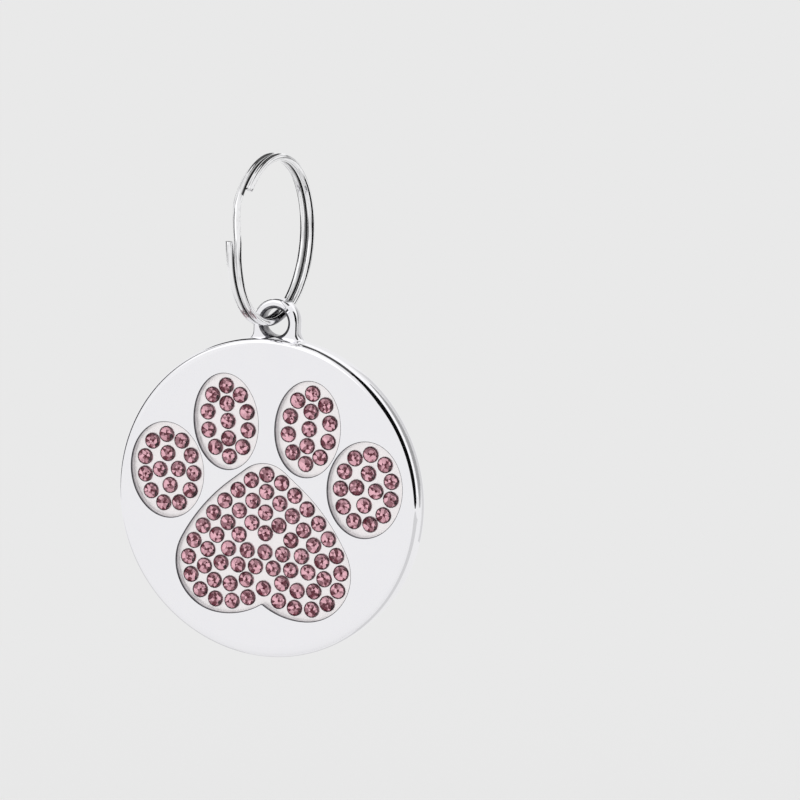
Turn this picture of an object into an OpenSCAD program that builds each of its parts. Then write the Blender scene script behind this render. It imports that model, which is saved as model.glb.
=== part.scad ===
// Round pet tag with a paw print of set stones, hanging from a split ring.
//
// The tag is one casting: a disc with a rounded edge, a hanging eye on its rim and five
// recessed cells in its front face. Each cell holds a thin bed of clear adhesive, and
// flat-backed round stones sit on the bed in courses that follow the outline of the cell.
// The split ring is one round wire wound twice, and it goes through the eye.
//
// The tag is drawn lying flat, X to its right, Y up it and Z out of its front face, with
// the centre of the disc at the origin. stood_up() then turns its front to -Y, and
// hung() brings the hanging point, inside the top of the split ring, to the origin.

/* [Disc] */
// Diameter of the disc
disc_d = 30; // [29.6:0.2:33]
// Thickness of the disc
disc_t = 2.8; // [2.4:0.1:3.6]
// Radius of the rounding round both edges of the disc
edge_round = 0.45; // [0.2:0.05:0.6]

/* [Eye] */
// Outside diameter of the hanging eye
eye_d = 4.4; // [4.2:0.1:4.8]
// Bore of the eye
eye_bore_d = 2.6; // [2.6:0.05:2.8]
// Thickness of the eye
eye_t = 1.65; // [1.4:0.05:1.8]
// Radius of the rounding along the edges of the eye
eye_round = 0.3; // [0.15:0.05:0.35]
// Metal between the rim of the disc and the bore
eye_lift = 0.07; // [0.05:0.01:0.12]
// Depth of the back of the eye below the back face of the disc
eye_set_back = 0.05; // [0.02:0.01:0.15]
// Radius of the shoulders between the eye and the rim
shoulder_r = 0.8; // [0.5:0.1:1.2]

/* [Cells] */
// Depth of the cells below the front face
cell_depth = 0.85; // [0.8:0.05:1.2]
// Thickness of the adhesive bed on the floor of a cell
bed_t = 0.2; // [0.1:0.05:0.25]

/* [Inner toes] */
// Width of an inner toe
inner_toe_w = 6.5; // [6.4:0.05:6.7]
// Height of an inner toe
inner_toe_h = 9; // [8.8:0.1:9.4]
// Distance of an inner toe from the middle line
inner_toe_x = 4.1; // [4:0.05:4.2]
// Height of an inner toe above the centre of the disc
inner_toe_y = 6.9; // [6.7:0.1:7.1]
// Outward lean of an inner toe, in degrees
inner_toe_lean = 4.5; // [2:0.5:6]

/* [Outer toes] */
// Width of an outer toe
outer_toe_w = 7.4; // [7.2:0.05:7.5]
// Height of an outer toe
outer_toe_h = 9; // [8.8:0.1:9.4]
// Distance of an outer toe from the middle line
outer_toe_x = 9.95; // [9.85:0.05:10.05]
// Height of an outer toe above the centre of the disc
outer_toe_y = 1.8; // [1.6:0.1:1.9]
// Outward lean of an outer toe, in degrees
outer_toe_lean = 6; // [4:0.5:10]

/* [Pad] */
// Height of the top of the pad above the centre of the disc
pad_top = 3.3; // [3:0.1:3.5]
// Radius of the top of the pad
pad_top_r = 3.1; // [2.9:0.1:3.5]
// Turn of the outline round the top of the pad, in degrees
pad_top_turn = 38; // [37:0.5:39]
// Radius of the long curve down the side of the pad
pad_side_r = 18; // [17:0.5:19]
// Turn of the outline along that curve, in degrees
pad_side_turn = 24.5; // [24:0.5:25]
// Radius of the lobes
pad_lobe_r = 4.6; // [4.5:0.05:4.7]
// Turn of the outline round a lobe, in degrees
pad_lobe_turn = 111.5; // [111:0.5:112]
// Radius of the curve between a lobe and the notch
pad_sole_r = 7; // [6.5:0.1:7.5]
// Turn of the outline along that curve, in degrees
pad_sole_turn = 39; // [38:0.5:40]
// Radius of the notch at the bottom of the pad
pad_notch_r = 0.3; // [0.2:0.05:0.5]

/* [Stones] */
// Diameter of a stone
stone_d = 1.5; // [1.3:0.05:1.55]
// Height of a stone above its bed
stone_h = 0.6; // [0.5:0.05:0.7]
// Distance of the outer course of a toe from the outline of its cell
toe_inset = 1.18; // [1.1:0.02:1.25]
// Distance of the outer course of the pad from the outline of its cell
pad_inset = 1.08; // [1:0.02:1.15]
// Distance from one course of the pad to the next
course_pitch = 1.62; // [1.58:0.01:1.66]
// Stones round the edge of an inner toe
inner_toe_rim_stones = 10; // [8:1:10]
// Stones in the row inside an inner toe
inner_toe_core_stones = 3; // [1:1:3]
// Distance between the stones of that row
inner_toe_core_pitch = 1.63; // [1.6:0.01:1.68]
// Stones round the edge of an outer toe
outer_toe_rim_stones = 11; // [9:1:11]
// Height of the diamond of four stones inside an outer toe
outer_toe_core_h = 3; // [2.9:0.05:3.1]
// Width of that diamond
outer_toe_core_w = 1.88; // [1.86:0.01:1.95]
// Stones down one side of the first course of the pad
pad_first_stones = 12; // [10:1:12]
// Stones down one side of the second course of the pad
pad_second_stones = 9; // [7:1:9]
// Space between the last stone of that course and the middle line, in pitches
pad_second_tail = 1.15; // [1.1:0.05:1.2]
// Stones down one side of the third course of the pad
pad_third_stones = 6; // [4:1:6]
// Rise of the stone over the notch above its course
notch_stone_rise = 0.35; // [0.2:0.05:0.4]
// Distance of the top stone of the middle group from the top of the pad
middle_drop = 6.6; // [6.5:0.05:6.65]
// Height of the middle group
middle_h = 1.8; // [1.7:0.05:1.85]
// Distance between the stones in the lower row of the middle group
middle_pitch = 1.8; // [1.7:0.05:1.85]

/* [Split ring] */
// Outside diameter of the split ring
ring_d = 15.9; // [15.5:0.1:17]
// Diameter of its wire
wire_d = 0.7; // [0.6:0.02:0.72]
// Gap between its two turns
turn_gap = 0.05; // [0.04:0.01:0.07]
// Clearance between the wire and the top of the bore
wire_clearance = 0.1; // [0.08:0.01:0.12]
// Distance of the middle of the ring in front of the middle of the disc
ring_forward = 1.5; // [1.4:0.05:1.6]
// Turn of the ring out of square to the tag, in degrees
ring_yaw = 2.7; // [0:0.3:3]
// Place where the wire starts to cross over to its second turn, in degrees from the back
cross_place = 143; // [141:1:145]
// Length of the crossover, in degrees
cross_turn = 38; // [36:1:40]
// Length of the first turn, from its sprung-out start to the crossover, in degrees
first_turn = 307; // [304:1:309]
// Length of the second turn, in degrees
second_turn = 317; // [312:1:318]
// Length of the sprung-out start of the wire, in degrees
splay_turn = 20; // [16:1:22]
// Distance that the start stands out from its turn
splay = 0.15; // [0.13:0.01:0.3]

/* [Back] */
// Width of the ruled lines engraved in the back
rule_w = 0.45; // [0.3:0.05:0.7]
// Depth of the ruled lines
rule_depth = 0.1; // [0.05:0.05:0.2]
// Height of the top line above the centre of the disc
rule_top = 7.2; // [6.8:0.1:7.6]
// Distance between the lines
rule_pitch = 4.9; // [4.6:0.1:5]
// Length of the short lines, first and third from the top
rule_short = 16; // [12:0.5:18]
// Length of the long lines, second and fourth from the top
rule_long = 22; // [20:0.5:22]

/* [Hidden] */

// Cutting bodies run past the faces that they cut by this much
overrun = 0.5;
// Sides of the outline of a toe
toe_sides = 72;
// Facets in each curve of the pad's outline, and in the paths of its courses
curve_fn = 16;
// Samples along the edge of a toe, on which its stones are spaced
edge_samples = 180;
// Facets of round surfaces
round_fn = 96;
stone_fn = 48;

disc_r = disc_d / 2;
face_z = disc_t / 2;
bed_top = face_z - cell_depth + bed_t;

eye_r = eye_d / 2;
bore_r = eye_bore_d / 2;
eye_y = disc_r + eye_lift + bore_r;
eye_back = -face_z + eye_set_back;
neck_inset = 0.1;
neck_t = eye_t - 2 * neck_inset;
shoulder_x = eye_r + shoulder_r;
// The shoulder curve meets both the side of the eye and the rim of the disc
shoulder_y = sqrt(pow(disc_r + shoulder_r, 2) - pow(shoulder_x, 2));

stone_r = stone_d / 2;
// Shape of a stone: its flat back, its girdle and its table, as shares of its size
back_share = 0.8;
table_share = 0.52;
girdle_low_share = 0.2;
girdle_high_share = 0.38;

wire_r = wire_d / 2;
ring_r = ring_d / 2 - wire_r;
layer_x = (wire_d + turn_gap) / 2;
bend_r = wire_r * 1.05;
bend_l = wire_d * 0.3;
// Two arcs stop this many degrees short of the bend between them, inside its swelling
bend_trim = 0.4;
// The wire bears on the back edge of the bore, where the rounding of the eye starts
bearing_z = eye_back + eye_round;
bearing_reach = ring_forward - bearing_z;
bearing_x = layer_x + bearing_reach * sin(ring_yaw);
bearing_rise = sqrt(pow(bore_r - wire_r, 2) - pow(bearing_x, 2)) - wire_clearance;
ring_z = eye_y + bearing_rise + sqrt(pow(ring_r, 2) - pow(bearing_reach, 2));

// Hanging point: inside the top of the ring, between its two turns
hang = [0, -ring_forward, ring_z + ring_r - wire_r];

module stood_up() {
    rotate([90, 0, 0])
        children();
}

module hung() {
    translate(-hang)
        children();
}

// Paths

function turned(p, heading, r, turn, steps) =
    let (centre = p + r * [sin(heading), -cos(heading)])
    [
        for (i = [1 : steps])
            let (a = heading - turn * i / steps)
            centre - r * [sin(a), -cos(a)]
    ];

function last(p) = p[len(p) - 1];

function path_lengths(p) = [
    for (i = 0, s = 0; i < len(p); s = i + 1 < len(p) ? s + norm(p[i + 1] - p[i]) : s, i = i + 1) s
];

function on_path(p, lengths, s) =
    let (i = max([for (k = [0 : len(p) - 2]) if (lengths[k] <= s) k]))
    p[i] + (p[i + 1] - p[i]) * (s - lengths[i]) / (lengths[i + 1] - lengths[i]);

function mirrored(p) = [for (q = p) [-q[0], q[1]]];

// Outline of the pad: its right half, from the top round the lobe to the notch, moved
// inwards by inset. A straight one goes from the side of the lobe straight across.
function pad_half(inset, flank, straight) =
    let (
        side_heading = -pad_top_turn - pad_side_turn,
        sole_heading = side_heading - pad_lobe_turn,
        notch_heading = sole_heading - pad_sole_turn,
        top = turned([0, pad_top - inset], 0, pad_top_r - inset, pad_top_turn, curve_fn),
        flank_end = last(top) + flank * [cos(pad_top_turn), -sin(pad_top_turn)],
        side = turned(flank_end, -pad_top_turn, pad_side_r - inset, pad_side_turn, curve_fn),
        lobe = turned(last(side), side_heading, pad_lobe_r - inset,
            straight ? 90 + side_heading : pad_lobe_turn, curve_fn),
        sole = turned(last(lobe), sole_heading, pad_sole_r - inset, pad_sole_turn, curve_fn),
        notch = turned(last(sole), notch_heading, -pad_notch_r - inset, 180 + notch_heading,
            curve_fn)
    )
    concat(
        inset < pad_top_r ? concat([[0, pad_top - inset]], top)
            : [[0, flank_end[1] + flank_end[0] * tan(pad_top_turn)]],
        [flank_end], side, lobe,
        straight ? [[0, last(lobe)[1]]] : concat(sole, notch)
    );

// Length of the straight flank that brings the notch to the middle line
flank_l = -last(pad_half(0, 0, false))[0] / cos(pad_top_turn);

function pad_path(inset, straight = false) = pad_half(inset, flank_l, straight);

function reversed(p) = [for (i = [len(p) - 1 : -1 : 0]) p[i]];

function pad_outline() =
    let (right = pad_path(0), n = len(right))
    concat(right, reversed(mirrored([for (i = [1 : n - 2]) right[i]])));

// Courses

function ellipse_point(w, h, a) = [w * sin(a), h * cos(a)] / 2;

function ellipse_path(w, h, samples) = [
    for (i = [0 : samples]) ellipse_point(w, h, 360 * i / samples)
];

// As many stones as have room on the course, up to count
function rim_course(w, h, count) =
    let (
        p = ellipse_path(w - 2 * toe_inset, h - 2 * toe_inset, edge_samples),
        lengths = path_lengths(p),
        course = [for (i = [0 : count - 1]) on_path(p, lengths, last(lengths) * i / count)],
        steps = [for (i = [1 : count - 1]) norm(course[i] - course[i - 1])]
    )
    min(steps) > stone_d ? course : rim_course(w, h, count - 1);

function row_course(count, pitch) = [
    for (i = [0 : count - 1]) [0, pitch * (i - (count - 1) / 2)]
];

function diamond_course(w, h) = [for (i = [0 : 3]) ellipse_point(w, h, 90 * i)];

function least_distance(a, b) = min([for (p = a) for (q = b) norm(p - q)]);

// The last stone of a side stays tail pitches short of the middle line
function side_course(path, count, tail) =
    let (lengths = path_lengths(path))
    [for (i = [1 : count]) on_path(path, lengths, last(lengths) * i / (count + tail))];

first_path = pad_path(pad_inset);
second_path = pad_path(pad_inset + course_pitch);
third_path = pad_path(pad_inset + 2 * course_pitch, true);

first_course = side_course(first_path, pad_first_stones, 1);
second_course = side_course(second_path, pad_second_stones, pad_second_tail);
third_course = side_course(third_path, pad_third_stones, 0.5);
middle_course = concat(
    [first_path[0], last(first_path) + [0, notch_stone_rise], second_path[0], third_path[0]],
    [[0, pad_top - middle_drop]],
    [for (i = [-1 : 1]) [middle_pitch * i, pad_top - middle_drop - middle_h]]
);

inner_rim = rim_course(inner_toe_w, inner_toe_h, inner_toe_rim_stones);
inner_core = row_course(inner_toe_core_stones, inner_toe_core_pitch);
outer_rim = rim_course(outer_toe_w, outer_toe_h, outer_toe_rim_stones);
outer_diamond = diamond_course(outer_toe_core_w, outer_toe_core_h);
// In a toe too narrow for the diamond, the stones inside stand in a row, as in an inner toe
outer_core = least_distance(outer_diamond, outer_rim) > stone_d ? outer_diamond
    : row_course(inner_toe_core_stones, inner_toe_core_pitch);

// Clear space between neighbouring stones, over the right half of the paw print
function leant(p, x, y, lean) = [
    for (q = p) [x + q[0] * cos(lean) + q[1] * sin(lean), y - q[0] * sin(lean) + q[1] * cos(lean)]
];

right_stones = concat(
    leant(concat(inner_rim, inner_core), inner_toe_x, inner_toe_y, inner_toe_lean),
    leant(concat(outer_rim, outer_core), outer_toe_x, outer_toe_y, outer_toe_lean),
    first_course, second_course, third_course, middle_course
);
stone_gap = min([
    for (i = [0 : len(right_stones) - 2])
        for (j = [i + 1 : len(right_stones) - 1])
            norm(right_stones[i] - right_stones[j]) - stone_d
]);
echo("least gap between stones", stone_gap);

// Wire of the split ring
//
// The wire is four arcs with a bend between each two. A stop on its route is its angle round
// the ring and its height along the ring's axis, and an arc joins each pair of stops.
route = [
    [cross_place - first_turn - splay_turn, -layer_x - splay],
    [cross_place - first_turn, -layer_x],
    [cross_place, -layer_x],
    [cross_place + cross_turn, layer_x],
    [cross_place + cross_turn + second_turn, layer_x]
];

// An arc's plane is tilted about the radius through its middle
function half_angle(a, b) = (b[0] - a[0]) / 2;

function half_reach(a, b) = ring_r * sin(half_angle(a, b));

function half_chord(a, b) = norm([half_reach(a, b), (b[1] - a[1]) / 2]);

function arc_tilt(a, b) = atan2(b[1] - a[1], 2 * half_reach(a, b));

function arc_rise(a, b) = ring_r * (1 - cos(half_angle(a, b)));

function arc_r(a, b) = (pow(half_chord(a, b), 2) + pow(arc_rise(a, b), 2)) / (2 * arc_rise(a, b));

function arc_half_turn(a, b) = atan2(half_chord(a, b), arc_r(a, b) - arc_rise(a, b));

// Point on an arc, at a share of its way from a to b
function arc_point(a, b, share) =
    let (
        middle = (a + b) / 2,
        r = arc_r(a, b),
        t = (2 * share - 1) * arc_half_turn(a, b),
        out = ring_r - r + r * cos(t),
        along = r * sin(t),
        side = along * cos(arc_tilt(a, b))
    )
    [
        out * cos(middle[0]) - side * sin(middle[0]),
        out * sin(middle[0]) + side * cos(middle[0]),
        middle[1] + along * sin(arc_tilt(a, b))
    ];

// Points on each arc at every degree round the ring
arcs = [
    for (i = [0 : len(route) - 2])
        let (turn = ceil(route[i + 1][0] - route[i][0]))
        [for (k = [0 : turn]) arc_point(route[i], route[i + 1], k / turn)]
];

// Clear space between the two turns, and between the sprung-out start and the crossover
wire_gap = min(
    least_distance(concat(arcs[0], arcs[1]), arcs[3]), least_distance(arcs[0], arcs[2])
) - wire_d;
echo("least gap of the wire to itself", wire_gap);

// Tag

module disc() {
    rotate_extrude($fn = round_fn)
        union() {
            translate([0, -face_z])
                square([disc_r - edge_round, disc_t]);
            translate([0, edge_round - face_z])
                square([disc_r, disc_t - 2 * edge_round]);
            for (side = [-1, 1])
                translate([disc_r - edge_round, side * (face_z - edge_round)])
                    circle(edge_round, $fn = round_fn);
        }
}

module rounded_section(w, h, r) {
    translate([r, 0])
        square([w - 2 * r, h]);
    translate([0, r])
        square([w, h - 2 * r]);
    for (x = [r, w - r])
        for (y = [r, h - r])
            translate([x, y])
                circle(r, $fn = round_fn);
}

module eye() {
    translate([0, eye_y, eye_back])
        rotate_extrude($fn = round_fn)
            translate([bore_r, 0])
                rounded_section(eye_r - bore_r, eye_t, eye_round);
}

// The neck stands on the rim between two hollow shoulders and stops inside the metal
// of the eye
module neck() {
    difference() {
        translate([0, 0, eye_back + neck_inset])
            linear_extrude(neck_t)
                union() {
                    translate([-shoulder_x, eye_y - eye_d])
                        square([2 * shoulder_x, shoulder_y - eye_y + eye_d]);
                    translate([-eye_r, eye_y - eye_d])
                        square([eye_d, eye_d]);
                }
        for (side = [-1, 1])
            translate([side * shoulder_x, shoulder_y, eye_back])
                cylinder(r = shoulder_r, h = eye_t, $fn = round_fn);
        translate([0, eye_y, eye_back])
            cylinder(r = (bore_r + eye_r) / 2, h = eye_t, $fn = round_fn);
    }
}

module toe_place(x, y, lean, side) {
    translate([side * x, y])
        rotate(-side * lean)
            children();
}

module inner_toe_place(side) {
    toe_place(inner_toe_x, inner_toe_y, inner_toe_lean, side)
        children();
}

module outer_toe_place(side) {
    toe_place(outer_toe_x, outer_toe_y, outer_toe_lean, side)
        children();
}

module toe_outline(w, h) {
    polygon([for (i = [0 : toe_sides - 1]) ellipse_point(w, h, 360 * i / toe_sides)]);
}

module inner_toe_outline(side) {
    inner_toe_place(side)
        toe_outline(inner_toe_w, inner_toe_h);
}

module outer_toe_outline(side) {
    outer_toe_place(side)
        toe_outline(outer_toe_w, outer_toe_h);
}

module sunk() {
    translate([0, 0, face_z - cell_depth])
        linear_extrude(cell_depth + overrun)
            children();
}

module cells() {
    for (side = [-1, 1]) {
        sunk()
            inner_toe_outline(side);
        sunk()
            outer_toe_outline(side);
    }
    sunk()
        polygon(pad_outline());
}

module rule(y, length) {
    translate([-length / 2, y - rule_w / 2, -face_z - overrun])
        cube([length, rule_w, rule_depth + overrun]);
}

module rules() {
    for (i = [0 : 3])
        rule(rule_top - i * rule_pitch, i % 2 == 0 ? rule_short : rule_long);
}

module tag_disc() {
    color([0.85, 0.85, 0.88])
        hung()
            stood_up()
                difference() {
                    union() {
                        disc();
                        eye();
                        neck();
                    }
                    cells();
                    rules();
                }
}

// Beds

module bed() {
    color([0.95, 0.8, 0.84])
        hung()
            stood_up()
                translate([0, 0, face_z - cell_depth])
                    linear_extrude(bed_t)
                        children();
}

// Stones

module stone() {
    rotate_extrude($fn = stone_fn)
        polygon([
            [0, 0],
            [stone_r * back_share, 0],
            [stone_r, stone_h * girdle_low_share],
            [stone_r, stone_h * girdle_high_share],
            [stone_r * table_share, stone_h],
            [0, stone_h]
        ]);
}

module stones(course) {
    for (p = course)
        translate(p)
            stone();
}

module set_stones() {
    color([0.88, 0.4, 0.5])
        hung()
            stood_up()
                translate([0, 0, bed_top])
                    children();
}

module inner_toe_stones(course, side) {
    set_stones()
        inner_toe_place(side)
            stones(course);
}

module outer_toe_stones(course, side) {
    set_stones()
        outer_toe_place(side)
            stones(course);
}

module pad_side_stones(course, side) {
    set_stones()
        stones(side > 0 ? course : mirrored(course));
}

// Split ring, drawn with its axis along Z and its angles from the back of the tag upwards

module wire_arc(a, b, trim_start, trim_end) {
    half_turn = arc_half_turn(a, b);
    rotate((a[0] + b[0]) / 2)
        translate([ring_r - arc_r(a, b), 0, (a[1] + b[1]) / 2])
            rotate([arc_tilt(a, b), 0, 0])
                rotate(trim_start - half_turn)
                    rotate_extrude(angle = 2 * half_turn - trim_start - trim_end, $fn = round_fn)
                        translate([arc_r(a, b), 0])
                            circle(wire_r, $fn = round_fn);
}

// A short length of slightly swollen wire holds the ends of the two arcs that meet at p
module bend(p, tilt) {
    rotate(p[0])
        translate([ring_r, 0, p[1]])
            rotate([tilt - 90, 0, 0])
                cylinder(r = bend_r, h = bend_l, center = true, $fn = round_fn);
}

module split_ring() {
    stops = len(route);
    color([0.75, 0.75, 0.78])
        hung()
            translate([0, -ring_forward, ring_z])
                rotate([90, 0, 90 - ring_yaw]) {
                    for (i = [1 : stops - 1])
                        wire_arc(route[i - 1], route[i],
                            i == 1 ? 0 : bend_trim, i == stops - 1 ? 0 : bend_trim);
                    for (i = [1 : stops - 2])
                        bend(route[i], (arc_tilt(route[i - 1], route[i])
                            + arc_tilt(route[i], route[i + 1])) / 2);
                }
}

tag_disc();
split_ring();
bed() inner_toe_outline(-1);  // bed_toe_inner_left
bed() inner_toe_outline(1);  // bed_toe_inner_right
bed() outer_toe_outline(-1);  // bed_toe_outer_left
bed() outer_toe_outline(1);  // bed_toe_outer_right
bed() polygon(pad_outline());  // bed_pad
inner_toe_stones(mirrored(inner_rim), -1);  // stones_toe_inner_left_rim
inner_toe_stones(inner_core, -1);  // stones_toe_inner_left_core
inner_toe_stones(inner_rim, 1);  // stones_toe_inner_right_rim
inner_toe_stones(inner_core, 1);  // stones_toe_inner_right_core
outer_toe_stones(mirrored(outer_rim), -1);  // stones_toe_outer_left_rim
outer_toe_stones(outer_core, -1);  // stones_toe_outer_left_core
outer_toe_stones(outer_rim, 1);  // stones_toe_outer_right_rim
outer_toe_stones(outer_core, 1);  // stones_toe_outer_right_core
pad_side_stones(first_course, -1);  // stones_pad_first_left
pad_side_stones(first_course, 1);  // stones_pad_first_right
pad_side_stones(second_course, -1);  // stones_pad_second_left
pad_side_stones(second_course, 1);  // stones_pad_second_right
pad_side_stones(third_course, -1);  // stones_pad_third_left
pad_side_stones(third_course, 1);  // stones_pad_third_right
pad_side_stones(middle_course, 1);  // stones_pad_middle
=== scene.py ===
# %% [markdown]
# A round pet tag with a paw print of small pink stones, hanging from a split ring.
#
# The measured model of the tag comes in first. It gives the overall sizes and the places
# of the stones. Each piece below is drawn where the measured one stands, with the same
# sizes, and takes over its looks.

# %% Load the measured model
import math
import random
import bmesh
import bpy
from mathutils import Matrix, Vector

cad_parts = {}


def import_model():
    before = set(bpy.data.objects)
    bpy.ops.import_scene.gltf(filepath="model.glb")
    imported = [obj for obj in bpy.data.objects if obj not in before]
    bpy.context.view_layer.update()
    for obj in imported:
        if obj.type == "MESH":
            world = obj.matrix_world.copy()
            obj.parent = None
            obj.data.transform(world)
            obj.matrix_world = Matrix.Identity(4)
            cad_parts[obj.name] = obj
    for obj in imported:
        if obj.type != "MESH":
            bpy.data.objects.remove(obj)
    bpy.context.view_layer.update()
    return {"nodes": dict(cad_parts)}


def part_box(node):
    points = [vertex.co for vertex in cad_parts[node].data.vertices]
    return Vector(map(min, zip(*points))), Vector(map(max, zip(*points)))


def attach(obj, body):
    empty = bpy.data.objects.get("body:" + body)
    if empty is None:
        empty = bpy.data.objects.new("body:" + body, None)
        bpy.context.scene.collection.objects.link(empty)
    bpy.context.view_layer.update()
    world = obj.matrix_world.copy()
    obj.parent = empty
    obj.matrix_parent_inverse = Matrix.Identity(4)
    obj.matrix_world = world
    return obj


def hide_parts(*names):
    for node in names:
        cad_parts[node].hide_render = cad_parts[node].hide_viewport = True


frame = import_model()
print("measured parts:", len(frame["nodes"]))

# %% [markdown]
# The tag is easiest to draw lying flat, in millimetres: X to its right, Y up it and Z out
# of its front face, with the middle of the disc at the origin. One matrix then stands it
# up in its place. The ring has a matrix of the same kind.

# %% Where things are
MM = 0.001
disc_low, disc_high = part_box("tag_disc")
ring_low, ring_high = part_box("split_ring")

disc_r = (disc_high.x - disc_low.x) / 2 / MM
disc_t = (disc_high.y - disc_low.y) / MM
disc_centre = Vector((0, (disc_low.y + disc_high.y) / 2, disc_low.z + disc_r * MM))
tag_place = (
    Matrix.Translation(disc_centre) @ Matrix.Rotation(math.radians(90), 4, "X") @ Matrix.Scale(MM, 4)
)

# The ring hangs straight below the origin, turned a little out of square to the tag
RING_YAW = math.radians(-2.7)
ring_outer_r = (ring_high.z - ring_low.z) / 2 / MM
ring_centre = Vector((0, 0, (ring_low.z + ring_high.z) / 2))
ring_place = Matrix.Translation(ring_centre) @ Matrix.Rotation(RING_YAW, 4, "Z") @ Matrix.Scale(MM, 4)
print(f"disc {2 * disc_r:.2f} x {disc_t:.2f} mm, split ring {2 * ring_outer_r:.2f} mm")

# %% [markdown]
# Shader sums read best as Python sums. A Wire holds one socket, and adding or multiplying
# wires adds the Math nodes. A Finish is one material, whose node method makes any other
# node: its type, its settings, then what goes into its sockets.

# %% Wires and finishes
# Most of a noise lies in this span
NOISE_SPAN = (0.3, 0.7)


class Wire:
    """One output socket of a material, for use in sums."""

    def __init__(self, finish, socket):
        self.finish = finish
        self.socket = socket

    def math(self, operation, first, second):
        return self.finish.node("ShaderNodeMath", {"operation": operation}, {0: first, 1: second})

    def __add__(self, other):
        return self.math("ADD", self, other)

    __radd__ = __add__

    def __sub__(self, other):
        return self.math("SUBTRACT", self, other)

    def __rsub__(self, other):
        return self.math("SUBTRACT", other, self)

    def __mul__(self, other):
        return self.math("MULTIPLY", self, other)

    __rmul__ = __mul__

    def __pow__(self, other):
        return self.math("POWER", self, other)


class Finish:
    """A material made of nodes."""

    def __init__(self, name):
        self.material = bpy.data.materials.new(name)
        self.material.use_nodes = True
        self.tree = self.material.node_tree
        self.tree.nodes.clear()

    def node(self, kind, settings, inputs, output=0):
        made = self.tree.nodes.new(kind)
        for name, value in settings.items():
            setattr(made, name, value)
        for key, value in inputs.items():
            if isinstance(value, Wire):
                self.tree.links.new(value.socket, made.inputs[key])
            else:
                made.inputs[key].default_value = value
        return Wire(self, made.outputs[output])

    def also(self, wire, output):
        """Another output of the node that a wire comes from."""
        return Wire(self, wire.socket.node.outputs[output])

    def show(self, shader):
        output = self.tree.nodes.new("ShaderNodeOutputMaterial")
        self.tree.links.new(shader.socket, output.inputs["Surface"])
        return self.material

    def principled(self, inputs):
        """Shows the shader that does for metal, glass and adhesive alike."""
        return self.show(self.node("ShaderNodeBsdfPrincipled", {}, inputs))

    def place(self, scale):
        """Object coordinates times a scale, so that 1 / MM gives millimetres."""
        where = self.node("ShaderNodeTexCoord", {}, {}, "Object")
        return self.node("ShaderNodeVectorMath", {"operation": "SCALE"}, {0: where, "Scale": scale})

    def noise(self, where, scale, detail=2.0):
        inputs = {"Vector": where, "Scale": scale, "Detail": detail}
        return self.node("ShaderNodeTexNoise", {}, inputs, "Fac")

    def bump(self, height, distance):
        return self.node("ShaderNodeBump", {}, {"Height": height, "Distance": distance})

    def blend(self, factor, first, second):
        """A mix of two colours, which are sockets 6 and 7 of the node."""
        return self.node(
            "ShaderNodeMix", {"data_type": "RGBA"}, {"Factor": factor, 6: first, 7: second}, 2
        )

    def fitted(self, value, low, high, new_low, new_high):
        """A value moved from one span to another, held at its ends."""
        return self.node(
            "ShaderNodeMapRange", {}, {0: value, 1: low, 2: high, 3: new_low, 4: new_high}
        )

    def spread(self, noise, low, high):
        """A noise spread over a span of values."""
        return self.fitted(noise, *NOISE_SPAN, low, high)


def grey(level):
    return (level, level, level, 1.0)


print("shader helpers ready")

# %% [markdown]
# The casting is zinc alloy under a bright, slightly cool plating. Under a lens such
# plating isn't quite even: it has a faint orange peel and hair-fine wipe marks, and its
# gloss changes a little from place to place. Noise in millimetres gives each of these.

# %% Bright plating
PLATE_COLOUR = (0.965, 0.96, 0.995, 1.0)
PLATE_PALE = (0.985, 0.98, 1.0, 1.0)
PLATE_ROUGHNESS = (0.03, 0.07)
# Scales of the wipe marks along X, Y and Z, which draw them out along X
WIPE_STRETCH = (0.35, 9.0, 9.0)
PEEL_HEIGHT = 0.0006 * MM


def bright_plating():
    f = Finish("bright_plating")
    where = f.place(1 / MM)
    stretched = f.node("ShaderNodeMapping", {}, {"Vector": where, "Scale": WIPE_STRETCH})
    wipes = f.noise(stretched, 1.6, 4.0)
    cloud = f.noise(where, 0.45)
    peel = f.noise(where, 2.4, 1.0)
    return f.principled({
        "Base Color": f.blend(cloud, PLATE_COLOUR, PLATE_PALE),
        "Metallic": 1.0,
        "Roughness": f.spread(cloud * 0.6 + wipes * 0.4, *PLATE_ROUGHNESS),
        "Normal": f.bump(peel + wipes * 0.15, PEEL_HEIGHT),
    })


plating = bright_plating()
print("made", plating.name)

# %% [markdown]
# The walls of the cells, with their rounded mouths, carry painted shade: a darker grey that
# clears towards their floors. The bore of the eye is the same, with its painted shade more
# mottled.

# %% Painted shade in the recesses
WALL_PAINTED_SHADE = (0.08, 0.08, 0.09, 1.0)
WALL_LIGHT = (0.80, 0.78, 0.80, 1.0)
WALL_ROUGHNESS = (0.15, 0.30)
WALL_PITS = 0.004 * MM
# Depths from the front, in millimetres, over which each painted shade clears
CELL_CLEARS = (0.10, 0.50)
BORE_CLEARS = (0.9, 5.5)


def painted_recess_shade(name, span, mottled_shade):
    """Painted shade that clears over a span of depth; the last argument is how far, in mm, noise breaks up
    its edge.
    """
    f = Finish(name)
    where = f.place(1 / MM)
    level = f.node("ShaderNodeSeparateXYZ", {}, {0: where}, "Y")
    depth = level - disc_low.y / MM
    cloud = f.noise(where, 2.2)
    clear = f.fitted(depth + (cloud - 0.5) * mottled_shade, *span, 0.0, 1.0)
    return f.principled({
        # Painted shade: near black at the mouth, clearing to pale grey deeper in
        "Base Color": f.blend(clear, WALL_PAINTED_SHADE, WALL_LIGHT),
        "Metallic": 1.0,
        "Roughness": f.spread(cloud, *WALL_ROUGHNESS),
        "Normal": f.bump(cloud, WALL_PITS),
    })


shaded_recess = painted_recess_shade("painted_recess_shade", CELL_CLEARS, mottled_shade=0.2)
bore_shade = painted_recess_shade("mottled_shade", BORE_CLEARS, mottled_shade=4.5)
print("made", shaded_recess.name, "and", bore_shade.name)

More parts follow.
